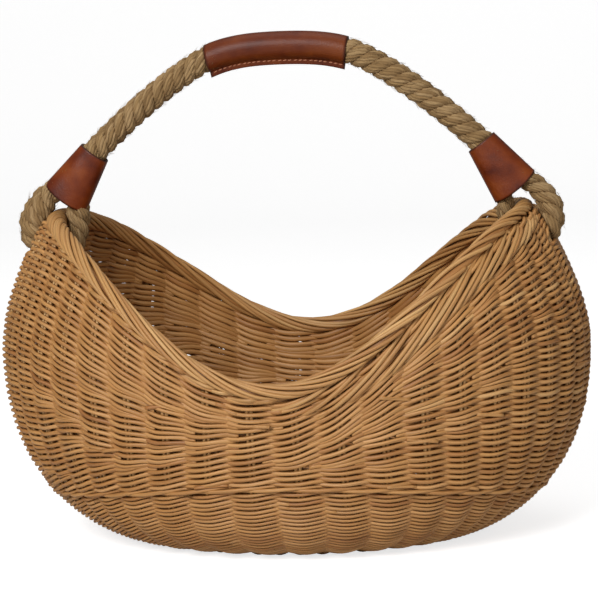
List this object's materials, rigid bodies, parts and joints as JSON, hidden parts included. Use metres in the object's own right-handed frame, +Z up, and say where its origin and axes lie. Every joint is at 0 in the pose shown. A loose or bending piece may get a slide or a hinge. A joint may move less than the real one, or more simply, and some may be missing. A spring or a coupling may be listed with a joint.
{
  "type": "log basket",
  "caption": "Crescent-shaped twined wicker basket with a saddle-shaped opening, carried by one rope handle with a leather grip and cuffs.",
  "frame": {"origin": "centre of the flat underside, on the floor", "axes": "+X along the length between the two tips, -Y to the front, +Z up"},
  "size_m": [0.5924, 0.3681, 0.5084],
  "materials": {
    "willow_weave": "peeled round rods, satin, varied from straw to pinkish tan",
    "stake_rods": "peeled round rods, satin",
    "rim_rods": "rolled bundle of peeled round rods, satin",
    "jute_rope": "three-strand laid jute rope, matt and fibrous",
    "leather": "cognac leather, fine pebble grain, semi-gloss",
    "thread": "waxed sewing thread"
  },
  "bodies": {
    "basket": {"base_weave_under": "willow_weave", "base_weave_upper": "willow_weave", "lower_weave_outer": "willow_weave", "lower_weave_inner": "willow_weave", "wale_outer": "willow_weave", "side_weave_outer": "willow_weave", "side_weave_inner": "willow_weave", "cross_stake_1": "stake_rods", "cross_stake_2": "stake_rods", "cross_stake_3": "stake_rods", "cross_stake_4": "stake_rods", "cross_stake_5": "stake_rods", "cross_stake_6": "stake_rods", "cross_stake_7": "stake_rods", "cross_stake_8": "stake_rods", "cross_stake_9": "stake_rods", "cross_stake_10": "stake_rods", "cross_stake_11": "stake_rods", "cross_stake_12": "stake_rods", "cross_stake_13": "stake_rods", "cross_stake_14": "stake_rods", "long_stake_1": "stake_rods", "long_stake_2": "stake_rods", "long_stake_3": "stake_rods", "long_stake_4": "stake_rods", "long_stake_5": "stake_rods", "long_stake_6": "stake_rods", "long_stake_7": "stake_rods", "long_stake_8": "stake_rods", "rim_core_rod": "rim_rods", "rim_border": "rim_rods", "left_rope_eye": "jute_rope", "right_rope_eye": "jute_rope"},
    "handle": {"handle_rope": "jute_rope", "left_rope_tail": "jute_rope", "right_rope_tail": "jute_rope", "left_cuff": "leather", "right_cuff": "leather", "leather_grip": "leather", "grip_thread": "thread"}
  },
  "joints": [
    {"name": "handle_swing", "type": "hinge", "parent": "basket", "child": "handle", "pos_m": [0, 0, 0.345], "axis": [1, 0, 0], "range_deg": [-50, 50]}
  ]
}
